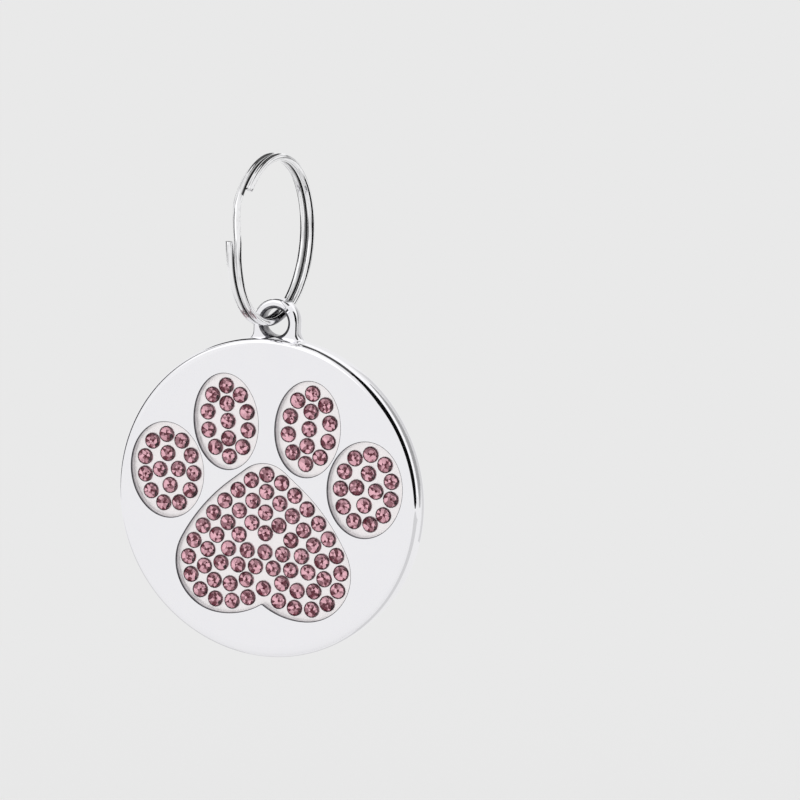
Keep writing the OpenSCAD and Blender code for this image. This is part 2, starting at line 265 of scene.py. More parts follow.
# %% [markdown]
# The ruled lines on the back are burnt into the plating by a laser, which leaves a brown,
# matt, slightly stepped floor.

# %% Laser-burnt lines
BURNT_DARK = (0.105, 0.062, 0.042, 1.0)
BURNT_LIGHT = (0.27, 0.17, 0.12, 1.0)
BURNT_ROUGHNESS = (0.5, 0.75)
BURNT_STEP = 0.01 * MM


def burnt_line():
    f = Finish("laser_burnt_line")
    where = f.place(1 / MM)
    grain = f.noise(where, 7.0, 4.0)
    passes = f.node(
        "ShaderNodeTexWave",
        {"bands_direction": "Z"},
        {"Vector": where, "Scale": 4.0, "Distortion": 0.6},
        "Fac",
    )
    return f.principled({
        "Base Color": f.blend(grain, BURNT_DARK, BURNT_LIGHT),
        "Metallic": 0.35,
        "Roughness": f.spread(grain, *BURNT_ROUGHNESS),
        "Normal": f.bump(passes * 0.6 + grain, BURNT_STEP),
    })


burnt = burnt_line()
print("made", burnt.name)

# %% [markdown]
# Outlines are drawn the way a draughtsman dimensions them: a pen walks along straight
# lines and arcs. Spinning the pen's last vertex about the centre of an arc draws it, and
# the same walk with a smaller or larger radius draws the outline moved in or out.

# %% A pen for outlines
# Corners closer than this are one corner
SAME_CORNER = 0.0005


class Pen:
    """Walks in the XY plane, with its heading in degrees from +X."""

    def __init__(self, bm, start, heading=0.0):
        self.bm = bm
        self.tip = bm.verts.new(start)
        self.heading = heading
        self.drawn = [self.tip]

    def line(self, length):
        made = bmesh.ops.extrude_vert_indiv(self.bm, verts=[self.tip])
        self.tip = made["verts"][0]
        ahead = Matrix.Rotation(math.radians(self.heading), 3, "Z") @ Vector((length, 0, 0))
        self.tip.co += ahead
        self.drawn += made["edges"] + [self.tip]

    def arc(self, radius, turn, steps):
        """Turns right for a positive turn; both are negative for a left turn."""
        to_centre = Matrix.Rotation(math.radians(self.heading - 90), 3, "Z") @ Vector((radius, 0, 0))
        before = set(self.bm.edges)
        made = bmesh.ops.spin(
            self.bm, geom=[self.tip], cent=self.tip.co + to_centre, axis=(0, 0, 1),
            angle=math.radians(-turn), steps=steps,
        )
        edges = [e for e in self.bm.edges if e not in before]
        self.tip = [g for g in made["geom_last"] if isinstance(g, bmesh.types.BMVert)][0]
        self.heading -= turn
        self.drawn += edges + list({v for e in edges for v in e.verts} - set(self.drawn))

    def mirrored(self):
        """Closes a right half with its left half, and returns all the edges."""
        before = set(self.bm.edges)
        bmesh.ops.mirror(self.bm, geom=self.drawn, matrix=Matrix(), axis="X", merge_dist=SAME_CORNER)
        half = [g for g in self.drawn if g.is_valid and isinstance(g, bmesh.types.BMEdge)]
        return half + [e for e in self.bm.edges if e not in before]


def circle(bm, radius, height, sides, centre=(0, 0)):
    """Edges of a circle."""
    before = set(bm.edges)
    place = Matrix.Translation((centre[0], centre[1], height))
    bmesh.ops.create_circle(bm, segments=sides, radius=radius, matrix=place)
    return [e for e in bm.edges if e not in before]


def walls(bm, outline, profile):
    """Draws an outline at each (inset, height) of a profile and bridges neighbours.

    Returns the first outline and the last."""
    loops = [outline(bm, inset, height) for inset, height in profile]
    for lower, upper in zip(loops, loops[1:]):
        bmesh.ops.bridge_loops(bm, edges=lower + upper)
    return loops[0], loops[-1]


# Angles round an edge, in radians, between which it is rolled over from the face
ROLLED_ANGLES = (0.0, 0.25, 0.5, 0.7)
# Slopes of the buffed strips, in degrees
BUFFED_SLOPES = (58, 66, 74)
# Width of a buffed strip, as a share of the edge's radius
BUFFED_STRIP_SHARE = 0.248
# Heights up the barrelled side, as shares of half its width
BARREL_SHARES = (0.8, 0.4, 0.0)


def rounding(radius, face, into, side, steps):
    """A profile from a flat face round a quarter circle to a wall.

    into is the sign of Z into the metal's face, and side is 1 for an outside edge and -1
    for the mouth of a hole."""
    quarter = [math.radians(90) * i / steps for i in range(steps + 1)]
    return [
        (side * radius * (1 - math.sin(a)), face + into * radius * (1 - math.cos(a))) for a in quarter
    ]


def polished_edge(radius, thickness, margin=()):
    """A profile across a polished rim, with Z from the middle of its thickness.

    Each edge is rolled over from the face, then buffed in ever steeper strips. The side
    between the edges is faintly barrelled. A margin gives (width, slope) strips of the
    face that the buffing wheel rolls off before the edge."""
    rolled = [(radius * (1 - math.sin(a)), radius * (1 - math.cos(a))) for a in ROLLED_ANGLES]
    top = (radius + sum(width for width, slope in margin), 0.0)
    strips = list(margin)
    for (x, z), (next_x, next_z) in zip(rolled, rolled[1:]):
        strips.append((x - next_x, math.degrees(math.atan2(next_z - z, x - next_x))))
    for slope in BUFFED_SLOPES:
        strips.append((BUFFED_STRIP_SHARE * radius * math.cos(math.radians(slope)), slope))
    edge = [top]
    for width, slope in strips:
        edge.append((edge[-1][0] - width, edge[-1][1] + width * math.tan(math.radians(slope))))
    half = thickness / 2
    reach = half - edge[-1][1]
    side = [(edge[-1][0] * share**2, half - reach * share) for share in BARREL_SHARES]
    back = [(inset, depth - half) for inset, depth in edge + side]
    return back + [(inset, -z) for inset, z in back[-2::-1]]


def flat(bm, outlines, finish=0):
    """Fills the space between outlines that lie in one plane."""
    made = bmesh.ops.triangle_fill(bm, use_beauty=True, edges=outlines)
    for face in made["geom"]:
        if isinstance(face, bmesh.types.BMFace):
            face.material_index = finish


print("pen ready")

# %% [markdown]
# Each finished piece goes through one door: its mesh is put in place, and it takes a body
# to ride on, the measured parts that it stands for and the slot of its finish. Edges
# between a flat and its rounding stay sharp, so that a mirror finish shows the flat as
# truly flat.

# %% Finish a piece
SHARP_ANGLE = math.radians(32)
FLAT_COSINE = 0.99995


def shade(bm, axis):
    """Smooth faces, with sharp edges at corners and round the flats that face an axis."""
    for face in bm.faces:
        face.smooth = True
    for edge in bm.edges:
        if len(edge.link_faces) == 2:
            flats = [abs(face.normal.dot(axis)) > FLAT_COSINE for face in edge.link_faces]
            corner = edge.calc_face_angle(0.0) > SHARP_ANGLE
            edge.smooth = not (corner or flats[0] != flats[1])


def as_object(name, bm, finishes):
    mesh = bpy.data.meshes.new(name)
    bm.to_mesh(mesh)
    bm.free()
    for finish in finishes:
        mesh.materials.append(finish)
    obj = bpy.data.objects.new(name, mesh)
    bpy.context.scene.collection.objects.link(obj)
    return obj


def piece(name, bm, place, finishes, body, stands_for):
    """stands_for lists the measured parts that the piece takes the place of."""
    bmesh.ops.transform(bm, matrix=place, verts=bm.verts)
    obj = as_object(name, bm, finishes)
    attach(obj, body)
    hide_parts(*stands_for)
    print(f"{name}: {len(obj.data.polygons)} faces")


print("ready to make pieces")

# %% [markdown]
# The disc is cast with a rounded edge and five recessed cells: four toes and a pad. It
# could be cut from a cylinder, but roundings made after a cut come out uneven. Here each
# wall is skinned from outlines that step round the rounding, and the flats between the
# outlines are filled last, so every edge has the same even radius.

# %% The paw print
EDGE_ROUND = 0.45
# Width and slope of the strips at the margin of the face
MARGIN = ((0.18, 1.0), (0.18, 2.0), (0.18, 3.0))
CELL_DEPTH = 0.85
RIM_ROUND = 0.06
CELL_DRAFT = 0.02
DISC_SIDES = 256
TOE_SIDES = 96
ARC_STEPS = 20
RIM_STEPS = 3
# Width, height, place across and up, and outward lean of a toe
INNER_TOE = (6.5, 9.0, 4.1, 6.9, 4.5)
OUTER_TOE = (7.4, 9.0, 9.95, 1.8, 6.0)

PAD_TOP = 3.3
PAD_TOP_ARC = (3.1, 38.0)
# Radius and turn of the side, the lobe and the sole
PAD_ARCS = ((18.0, 24.5), (4.6, 111.5), (7.0, 39.0))
PAD_NOTCH_R = 0.3

face_z = disc_t / 2


def toe_outline(toe, side):
    width, height, x, y, lean = toe

    def outline(bm, inset, z):
        before = set(bm.verts)
        edges = circle(bm, 1.0, 0.0, TOE_SIDES)
        verts = [v for v in bm.verts if v not in before]
        bmesh.ops.scale(bm, vec=(width / 2 - inset, height / 2 - inset, 1), verts=verts)
        turned = Matrix.Rotation(math.radians(-side * lean), 3, "Z")
        bmesh.ops.rotate(bm, cent=(0, 0, 0), matrix=turned, verts=verts)
        bmesh.ops.translate(bm, vec=(side * x, y, z), verts=verts)
        return edges

    return outline


def pad_flank():
    """Length of the straight flank that brings the notch to the middle line."""
    notch_turn = 180 - PAD_TOP_ARC[1] - sum(turn for radius, turn in PAD_ARCS)
    heading, across = 0.0, 0.0
    for radius, turn in (PAD_TOP_ARC, *PAD_ARCS, (-PAD_NOTCH_R, notch_turn)):
        across += radius * (math.sin(math.radians(heading)) - math.sin(math.radians(heading - turn)))
        heading -= turn
    return -across / math.cos(math.radians(PAD_TOP_ARC[1]))


def pad_outline(bm, inset, z):
    pen = Pen(bm, (0, PAD_TOP - inset, z))
    pen.arc(PAD_TOP_ARC[0] - inset, PAD_TOP_ARC[1], ARC_STEPS // 2)
    pen.line(pad_flank())
    for radius, turn in PAD_ARCS:
        pen.arc(radius - inset, turn, ARC_STEPS)
    pen.arc(-PAD_NOTCH_R - inset, 180 + pen.heading, ARC_STEPS // 3)
    return pen.mirrored()


def disc_outline(bm, inset, z):
    return circle(bm, disc_r - inset, z, DISC_SIDES)


cell_profile = rounding(RIM_ROUND, face_z, -1, -1, RIM_STEPS) + [(CELL_DRAFT, face_z - CELL_DEPTH)]
print(f"pad flank {pad_flank():.3f} mm")

# %% [markdown]
# Four plain ruled lines are cut a tenth of a millimetre into the back, with their ends
# slightly rounded, as a laser's spot leaves them.

# %% The ruled back
RULE_W = 0.45
RULE_DEPTH = 0.1
RULE_TOP = 7.2
RULE_PITCH = 4.9
RULE_LENGTHS = (16.0, 22.0, 16.0, 22.0)
RULE_CORNER = 0.12
RULE_CORNER_STEPS = 4
RULE_DRAFT = 0.03


def rule_outline(y, length):
    def outline(bm, inset, z):
        before = set(bm.edges)
        pen = Pen(bm, (RULE_CORNER - length / 2, y + RULE_W / 2 - inset, z))
        for run in (length, RULE_W) * 2:
            pen.line(run - 2 * RULE_CORNER)
            pen.arc(RULE_CORNER - inset, 90, RULE_CORNER_STEPS)
        bmesh.ops.remove_doubles(bm, verts=[pen.drawn[0], pen.tip], dist=2 * SAME_CORNER)
        return [e for e in bm.edges if e not in before]

    return outline


print("ruled lines:", len(RULE_LENGTHS))

# %% [markdown]
# Now the disc can be cast. Each outline is skinned down its profile, which leaves loops of
# open edges at the faces, and one fill closes each face round all the loops that lie in it.

# %% Cast the disc
BURNT, WALL = 1, 3


def disc_casting():
    bm = bmesh.new()
    back, front = walls(bm, disc_outline, polished_edge(EDGE_ROUND, disc_t, MARGIN))
    cells = [toe_outline(toe, side) for toe in (INNER_TOE, OUTER_TOE) for side in (-1, 1)]
    for outline in [*cells, pad_outline]:
        cast = set(bm.faces)
        mouth, floor = walls(bm, outline, cell_profile)
        for face in set(bm.faces) - cast:
            face.material_index = WALL
        front += mouth
        flat(bm, floor)
    for i, length in enumerate(RULE_LENGTHS):
        line = rule_outline(RULE_TOP - i * RULE_PITCH, length)
        mouth, floor = walls(bm, line, [(0, -face_z), (RULE_DRAFT, RULE_DEPTH - face_z)])
        back += mouth
        flat(bm, floor, BURNT)
    flat(bm, front)
    flat(bm, back)
    bmesh.ops.recalc_face_normals(bm, faces=bm.faces)
    return bm


disc_bm = disc_casting()
print("disc:", len(disc_bm.faces), "faces, open edges:", sum(not e.is_manifold for e in disc_bm.edges))

# %% [markdown]
# The hanging eye is cast in one with the disc. It stands on the rim between two hollow
# shoulders, almost flush with the back and set well back from the front. Its outline is
# walked from the top of the eye down one side, and the bore's mouths are rounded too.

# %% Cast the eye
EYE_R = 2.2
BORE_R = 1.3
EYE_LIFT = 0.07
EYE_T = 1.65
EYE_SET_BACK = 0.05
EYE_ROUND = 0.3
EYE_ROUND_STEPS = 6
BORE_SIDES = 128
SHOULDER_R = 0.8
# The shoulders end this far inside the rim, and the foot goes on into the disc
SHOULDER_SINK = 0.04
FOOT = 1.6
EYE, BORE = 2, 4

eye_y = disc_r + EYE_LIFT + BORE_R
eye_back = -face_z + EYE_SET_BACK
eye_front = eye_back + EYE_T


def eye_outline(bm, inset, z):
    pen = Pen(bm, (0, eye_y + EYE_R - inset, z))
    shoulder_x = EYE_R + SHOULDER_R
    reach = disc_r + SHOULDER_R - SHOULDER_SINK
    shoulder_y = math.sqrt(reach**2 - shoulder_x**2)
    pen.arc(EYE_R - inset, 90, ARC_STEPS * 2)
    pen.line(eye_y - shoulder_y)
    pen.arc(-SHOULDER_R - inset, math.degrees(math.asin(shoulder_x / reach)) - 90, ARC_STEPS)
    pen.heading = -90
    pen.line(FOOT)
    pen.heading = 180
    pen.line(pen.tip.co.x)
    return pen.mirrored()


def bore_outline(bm, inset, z):
    return circle(bm, BORE_R + inset, z, BORE_SIDES, (0, eye_y))


def eye_casting():
    bm = bmesh.new()
    middle = (eye_back + eye_front) / 2
    outside = [(inset, middle + z) for inset, z in polished_edge(EYE_ROUND, EYE_T)]
    back, front = walls(bm, eye_outline, outside)
    for face in bm.faces:
        face.material_index = EYE
    inside = rounding(EYE_ROUND, eye_back, 1, 1, EYE_ROUND_STEPS)
    inside += reversed(rounding(EYE_ROUND, eye_front, -1, 1, EYE_ROUND_STEPS))
    bore_back, bore_front = walls(bm, bore_outline, inside)
    for face in bm.faces:
        if face.material_index != EYE:
            face.material_index = BORE
    flat(bm, back + bore_back, EYE)
    flat(bm, front + bore_front, EYE)
    bmesh.ops.recalc_face_normals(bm, faces=bm.faces)
    return bm


eye_bm = eye_casting()
print("eye:", len(eye_bm.faces), "faces, open edges:", sum(not e.is_manifold for e in eye_bm.edges))

# %% [markdown]
# A union joins the two, and the seam gets the small fillet that a casting has there. The
# eye's faces keep their own index through the union, so the seam is simply every edge
# between the two indices.

# %% Join disc and eye
SEAM_FILLET = 0.1


def united(first, second, finishes):
    """The union of two closed meshes, as a new one."""
    base = as_object("union_base", first, finishes)
    tool = as_object("union_tool", second, finishes)
    join = base.modifiers.new("join", "BOOLEAN")
    join.operation = "UNION"
    join.solver = "EXACT"
    join.object = tool
    result = bmesh.new()
    result.from_object(base, bpy.context.evaluated_depsgraph_get())
    for obj in (base, tool):
        bpy.data.objects.remove(obj)
    return result


tag_finishes = [plating, burnt, plating, shaded_recess, bore_shade]
tag_bm = united(disc_bm, eye_bm, tag_finishes)
seam = [
    e for e in tag_bm.edges
    if len(e.link_faces) == 2 and sum(f.material_index in (EYE, BORE) for f in e.link_faces) == 1
]
bmesh.ops.bevel(
    tag_bm, geom=seam, affect="EDGES", offset=SEAM_FILLET, segments=3, profile=0.5, material=-1,
    clamp_overlap=True,
)
shade(tag_bm, Vector((0, 0, 1)))
piece("tag_casting", tag_bm, tag_place, tag_finishes, "tag", ["tag_disc"])

# %% [markdown]
# The ring's steel wire was drawn through a die, which left faint dark marks along it, and
# where its two turns face each other it gets painted shade. Noise that hardly changes along
# the wire gives the marks, and the distance from between the turns gives the painted shade.

# %% Draw the wire's finish
# Noise below this span is a dark drawing mark
MARK_SPAN = (0.34, 0.46)
# How fast the marks change up the ring, as a share of how fast they change across the wire
MARK_FADE = 0.02
WIRE_MARK = (0.34, 0.34, 0.35, 1.0)
WIRE_COLOUR = (0.97, 0.97, 0.98, 1.0)
WIRE_PAINTED_SHADE = (0.05, 0.05, 0.05, 1.0)
WIRE_ROUGHNESS = (0.05, 0.12)
MARK_DEPTH = 0.002 * MM


def ring_wire(name, turn_span):
    """turn_span goes from painted shade to unshaded, in millimetres from between the turns."""
    f = Finish(name)
    where = f.node(
        "ShaderNodeMapping",
        {},
        {"Vector": f.place(1 / MM), "Rotation": (0, 0, -RING_YAW), "Location": -ring_centre / MM},
    )
    across = f.node("ShaderNodeSeparateXYZ", {}, {0: where}, "X")
    level = f.also(across, "Y")
    height = f.also(across, "Z")
    # Distance from the ring's axis, which stays the same all along a drawing mark
    out = (level**2.0 + height**2.0) ** 0.5
    section = f.node("ShaderNodeCombineXYZ", {}, {"X": across, "Y": out, "Z": height * MARK_FADE})
    marks = f.noise(section, 11.0, 3.0)
    cloud = f.noise(where, 0.8)
    apart = f.node("ShaderNodeMath", {"operation": "ABSOLUTE"}, {0: across})
    unmarked = f.fitted(marks * 0.8 + cloud * 0.2, *MARK_SPAN, 0.0, 1.0)
    drawn = f.blend(unmarked, WIRE_MARK, WIRE_COLOUR)
    return f.principled({
        # Painted shade: near black where the two turns face each other
        "Base Color": f.blend(f.fitted(apart, *turn_span, 0.0, 1.0), WIRE_PAINTED_SHADE, drawn),
        "Metallic": 1.0,
        "Roughness": f.spread(marks, *WIRE_ROUGHNESS),
        "Normal": f.bump(marks, MARK_DEPTH),
    })


paired_wire = ring_wire("drawn_wire_painted_shade_between_turns", (0.07, 0.16))
# A wire that runs alone has no painted shade, so its span ends short of the middle
single_wire = ring_wire("drawn_wire", (-0.02, -0.01))
print("made", paired_wire.name, "and", single_wire.name)

# %% [markdown]
# The split ring is one round wire wound twice. Its section is a filled circle that spins
# about the ring's axis: whole turns at one level, and short steps that climb where the
# wire crosses from the first turn to the second or springs out at its start.

# %% Wind the split ring
WIRE_R = 0.35
TURN_GAP = 0.05
WIRE_SIDES = 24
# Degrees in each step of a spin
STEP = 3.0
# How far the wire's start springs out, in millimetres
SPLAY = 0.15
# Where the crossing starts, in degrees round the ring from the back of the tag upwards
CROSS_PLACE = 143.0
# Degrees that each stretch of the wire goes round
CROSS_TURN = 38.0
FIRST_TURN = 307.0
SECOND_TURN = 317.0
SPLAY_TURN = 20.0
END_ROUND = 0.05
SINGLE = 1


def eased(t, share=0.25):
    """Goes from 0 to 1 at a steady rate, with a soft start and end of a share each."""
    if t > 0.5:
        return 1 - eased(1 - t, share)
    return (t * t / (2 * share) if t < share else t - share / 2) / (1 - share)


def climb(bm, section, turn, level):
    """Spins a section through a turn while level(0 to 1) gives its height on the axis."""
    steps = round(turn / STEP)
    for i in range(steps):
        rise = level((i + 1) / steps) - level(i / steps)
        made = bmesh.ops.spin(
            bm, geom=section, cent=(0, 0, 0), axis=(1, 0, 0), dvec=(rise, 0, 0),
            angle=math.radians(turn / steps), steps=1,
        )
        section = made["geom_last"]
    return section


def split_ring_wire():
    bm = bmesh.new()
    layer = WIRE_R + TURN_GAP / 2
    wire_ring_r = ring_outer_r - WIRE_R
    start = Matrix.Rotation(math.radians(CROSS_PLACE - FIRST_TURN - SPLAY_TURN), 4, "X")
    place = start @ Matrix.Translation((-layer - SPLAY, wire_ring_r, 0))
    bmesh.ops.create_circle(bm, cap_ends=True, segments=WIRE_SIDES, radius=WIRE_R, matrix=place)
    section = bm.faces[:] + bm.edges[:] + bm.verts[:]
    section = climb(bm, section, SPLAY_TURN, lambda t: -layer - SPLAY * (1 - t) ** 2)
    section = climb(bm, section, FIRST_TURN, lambda t: -layer)
    wound = set(bm.faces)
    section = climb(bm, section, CROSS_TURN, lambda t: layer * (2 * eased(t) - 1))
    for face in set(bm.faces) - wound:
        face.material_index = SINGLE
    climb(bm, section, SECOND_TURN, lambda t: layer)
    bmesh.ops.recalc_face_normals(bm, faces=bm.faces)
    caps = [f for f in bm.faces if len(f.verts) == WIRE_SIDES]
    rims = [e for f in caps for e in f.edges]
    bmesh.ops.bevel(
        bm, geom=rims, affect="EDGES", offset=END_ROUND, segments=2, profile=0.5, material=-1
    )
    print("wire: caps", len(caps), "open edges:", sum(not e.is_manifold for e in bm.edges))
    return bm


ring_bm = split_ring_wire()
shade(ring_bm, Vector((0, 0, 0)))
ring_finishes = [paired_wire, single_wire]
piece("split_ring_wire", ring_bm, ring_place, ring_finishes, "ring", ["split_ring"])

# %% [markdown]
# Each stone is a round brilliant with a silvered back: a table, a crown of small facets, a
# thin girdle with painted shade round the stone's edge and a mirror cone below. A cut stone
# is the convex hull of its rings of corners, so the hull operator cuts all the facets at
# once. The crown is rose glass that bends the light, and the cone is a tinted mirror seen
# through it.

# %% Glass, silvering and girdle
ROSE = (1.0, 0.93, 0.95, 1.0)
# Lower than real glass, so that the silvering below shows bright from any side
GLASS_IOR = 1.2
SILVER_DARK = (0.10, 0.012, 0.025, 1.0)
SILVER_BRIGHT = (1.0, 0.61, 0.69, 1.0)
SILVER_ROUGHNESS = 0.12
GIRDLE_SHADE_DARK = (0.05, 0.03, 0.035, 1.0)
GIRDLE_SHADE_LIGHT = (0.27, 0.15, 0.17, 1.0)
GIRDLE_ROUGHNESS = (0.25, 0.5)


def rose_glass():
    f = Finish("rose_glass")
    return f.principled({
        "Base Color": ROSE,
        "Roughness": 0.0,
        "IOR": GLASS_IOR,
        "Transmission Weight": 1.0,
        "Coat Weight": 0.5,
        "Coat Roughness": 0.0,
    })


def silvering():
    f = Finish("rose_silvering")
    tint = f.node("ShaderNodeAttribute", {"attribute_name": "facet_tone_and_shade"}, {}, "Fac")
    return f.principled({
        # The facet tones carry painted reflection: the tip and the upright facets are darker
        "Base Color": f.blend(tint, SILVER_DARK, SILVER_BRIGHT),
        "Metallic": 1.0,
        "Roughness": SILVER_ROUGHNESS,
    })


def painted_girdle_shade():
    f = Finish("girdle_with_painted_shade")
    grain = f.noise(f.place(1 / MM), 9.0)
    tint = f.node("ShaderNodeAttribute", {"attribute_name": "facet_tone_and_shade"}, {}, "Fac")
    return f.principled({
        # Painted shade: a dark outline round each stone, varied by the facet tones
        "Base Color": f.blend(grain * 0.3 + tint * 0.7, GIRDLE_SHADE_DARK, GIRDLE_SHADE_LIGHT),
        "Metallic": 0.6,
        "Roughness": f.spread(grain, *GIRDLE_ROUGHNESS),
    })


glass, silver, girdle_shade = rose_glass(), silvering(), painted_girdle_shade()
print("stone finishes made")

# %% [markdown]
# The places of the stones come from the measured parts: each loose solid in a stone part
# is one stone, so its middle is a place. Every stone is turned and tipped a little in its
# own way, because they are set by hand.

# %% Cut and set the stones
STONE_R = 0.77
TABLE_DROP = 0.05
# Radius, height below the table, corners and play in turn of each ring of corners
STONE_RINGS = (
    (0.43, 0.0, 8, 0.0),
    (0.665, -0.19, 16, 0.0),
    (STONE_R, -0.31, 16, 0.0),
    (0.66, -0.47, 11, 33.0),
    (0.37, -0.54, 7, 51.0),
    (0.14, -0.57, 6, 60.0),
)
# Facets that face up more than this are clear, and the narrow ones below them, the girdle, get painted
# shade
CLEAR_UP = 0.67
GLASS, SILVER, GIRDLE_SHADED = 0, 1, 2
# Facets that face straight down, the tip of the cone, take the darkest tone as a painted dark reflection
TIP = -0.995
# Facets to the top and bottom of a stone are painted this much darker than those to its sides, a painted
# dark reflection
UPRIGHT_PAINTED_SHADE = 0.45
# Each facet takes one of these at random, from 0 for dark to 1 for bright
TONES = (0.05, 0.35, 1.0, 1.0)
# Facets of the hull that differ less than this in slope are one facet
SAME_FACET = math.radians(1.5)
# Most tilt and turn of a stone in its seat, in degrees
MOST_TILT = 2.5
MOST_TURN = 45
# Keeps a facet that faces straight up or down from a division by nothing
LEAST_SLANT = 1e-6
# The measured meshes are loose triangles, whose corners meet within this
WELD = 0.01 * MM

random.seed(11)


def stone_places(node):
    """Middle of each stone of a measured part, lying flat, in millimetres."""
    bm = bmesh.new()
    bm.from_mesh(frame["nodes"][node].data)
    bmesh.ops.remove_doubles(bm, verts=bm.verts, dist=WELD)
    bmesh.ops.transform(bm, matrix=tag_place.inverted(), verts=bm.verts)
    waiting = set(bm.verts)
    places = []
    while waiting:
        group, edge = set(), {next(iter(waiting))}
        while edge:
            group |= edge
            edge = {e.other_vert(v) for v in edge for e in v.link_edges} - group
        waiting -= group
        low = [min(v.co[i] for v in group) for i in (0, 1)]
        high = [max(v.co[i] for v in group) for i in (0, 1)]
        places.append(((low[0] + high[0]) / 2, (low[1] + high[1]) / 2))
    bm.free()
    return sorted(places)


def each_once(elements):
    """Drops repeats and keeps the order, which a set of mesh elements changes from run to run."""
    return list(dict.fromkeys(elements))


def cut_stone(bm, place, tone):
    """Adds one stone and gives each of its facets a finish and a tone."""
    corners = []
    for radius, height, count, play in STONE_RINGS:
        turn = random.uniform(0, play)
        turned = Matrix.Translation((0, 0, height)) @ Matrix.Rotation(math.radians(turn), 4, "Z")
        made = bmesh.ops.create_circle(bm, segments=count, radius=radius, matrix=place @ turned)
        corners += made["verts"]
    loose = each_once(e for v in corners for e in v.link_edges)
    hull = bmesh.ops.convex_hull(bm, input=corners)
    faces = [g for g in hull["geom"] if isinstance(g, bmesh.types.BMFace)]
    edges = each_once(e for f in faces for e in f.edges)
    bmesh.ops.delete(bm, geom=[e for e in loose if e.is_valid and not e.link_faces], context="EDGES")
    bmesh.ops.dissolve_limit(bm, angle_limit=SAME_FACET, edges=edges)
    axis = place.to_3x3() @ Vector((0, 0, 1))
    for face in each_once(f for v in corners if v.is_valid for f in v.link_faces):
        up = face.normal.dot(axis)
        face.material_index = GLASS if up > CLEAR_UP else GIRDLE_SHADED if up > 0 else SILVER
        upright = face.normal.y**2 / max(1 - up * up, LEAST_SLANT)
        # Painted reflection: the tip facets darkest, the upright facets darker
        face[tone] = 0.0 if up < TIP else random.choice(TONES) * (1 - UPRIGHT_PAINTED_SHADE * upright)


def set_stones(node):
    bm = bmesh.new()
    tone = bm.faces.layers.float.new("facet_tone_and_shade")
    places = stone_places(node)
    for x, y in places:
        tilt = Matrix.Rotation(math.radians(random.uniform(-MOST_TILT, MOST_TILT)), 4, "X")
        tip = Matrix.Rotation(math.radians(random.uniform(-MOST_TILT, MOST_TILT)), 4, "Y")
        turn = Matrix.Rotation(math.radians(random.uniform(0, MOST_TURN)), 4, "Z")
        place = Matrix.Translation((x, y, face_z - TABLE_DROP)) @ tilt @ tip @ turn
        cut_stone(bm, place, tone)
    bmesh.ops.recalc_face_normals(bm, faces=bm.faces)
    name = node.replace("stones_", "set_stones_")
    piece(name, bm, tag_place, [glass, silver, girdle_shade], "tag", [node])
    return len(places)


stone_nodes = sorted(name for name in frame["nodes"] if name.startswith("stones_"))
total = sum(set_stones(node) for node in stone_nodes)
print("stones set:", total)

# %% [markdown]
# A bed of clear adhesive fills each cell round the stones, up to their girdles. Over bright
# plating it looks like a wet, near-white floor, so its finish is a soft, faintly pink mirror
# under a clear coat. Each bed is one slab with a seat cut through it for every stone, so
# that it doesn't show inside the glass.

# %% Bed the stones
BED_DROP = 0.44
BED_INSET = 0.008
SEAT_R = 0.71
SEAT_SIDES = 24
ADHESIVE_PINK = (1.0, 0.945, 0.953, 1.0)
ADHESIVE_PALE = (1.0, 0.97, 0.975, 1.0)
ADHESIVE_ROUGHNESS = (0.30, 0.45)
RIPPLE_HEIGHT = 0.04 * MM


def clear_adhesive():
    f = Finish("clear_adhesive")
    where = f.place(1 / MM)
    ripple = f.noise(where, 1.3)
    return f.principled({
        "Base Color": f.blend(ripple, ADHESIVE_PINK, ADHESIVE_PALE),
        "Metallic": 0.95,
        "Roughness": f.spread(ripple, *ADHESIVE_ROUGHNESS),
        "Coat Weight": 1.0,
        "Coat Roughness": 0.04,
        "Normal": f.bump(ripple, RIPPLE_HEIGHT),
    })


adhesive = clear_adhesive()


def seat_outline(x, y):
    return lambda bm, inset, z: circle(bm, SEAT_R - inset, z, SEAT_SIDES, (x, y))


def bed_stones(node, outline):
    """A slab of adhesive for a measured bed, with a seat for each stone that stands in it."""
    bm = bmesh.new()
    stones = [name for name in stone_nodes if name.startswith(node.replace("bed_", "stones_"))]
    seats = [seat_outline(x, y) for name in stones for x, y in stone_places(name)]
    floor, top = [], []
    for ring in [outline, *seats]:
        inset = BED_INSET if ring is outline else 0
        low, high = walls(bm, ring, [(inset, face_z - CELL_DEPTH), (inset, face_z - BED_DROP)])
        floor += low
        top += high
    flat(bm, floor)
    flat(bm, top)
    bmesh.ops.recalc_face_normals(bm, faces=bm.faces)
    piece(node.replace("bed_", "adhesive_bed_"), bm, tag_place, [adhesive], "tag", [node])


for side, word in ((-1, "left"), (1, "right")):
    bed_stones(f"bed_toe_inner_{word}", toe_outline(INNER_TOE, side))
    bed_stones(f"bed_toe_outer_{word}", toe_outline(OUTER_TOE, side))
bed_stones("bed_pad", pad_outline)

# %% [markdown]
# The photograph's ground is one even pale grey. The floor lies well below the tag. Close
# by it is lit like any floor, so it takes the tag's shadow, and farther out it fades into
# the same grey as the world, so that no horizon shows.

# %% Floor and world
GROUND = 0.8148
FLOOR_DROP = 0.03
FLOOR_SIZE = 6.0
# Distances from the middle of the floor, in metres, over which it fades into the room
FADE = (0.04, 0.14)
FLOOR_COLOUR = 0.89
# The room that lights the tag is a little brighter than the ground looks
ROOM = 0.85

scene = bpy.context.scene
scene.view_settings.view_transform = "Standard"


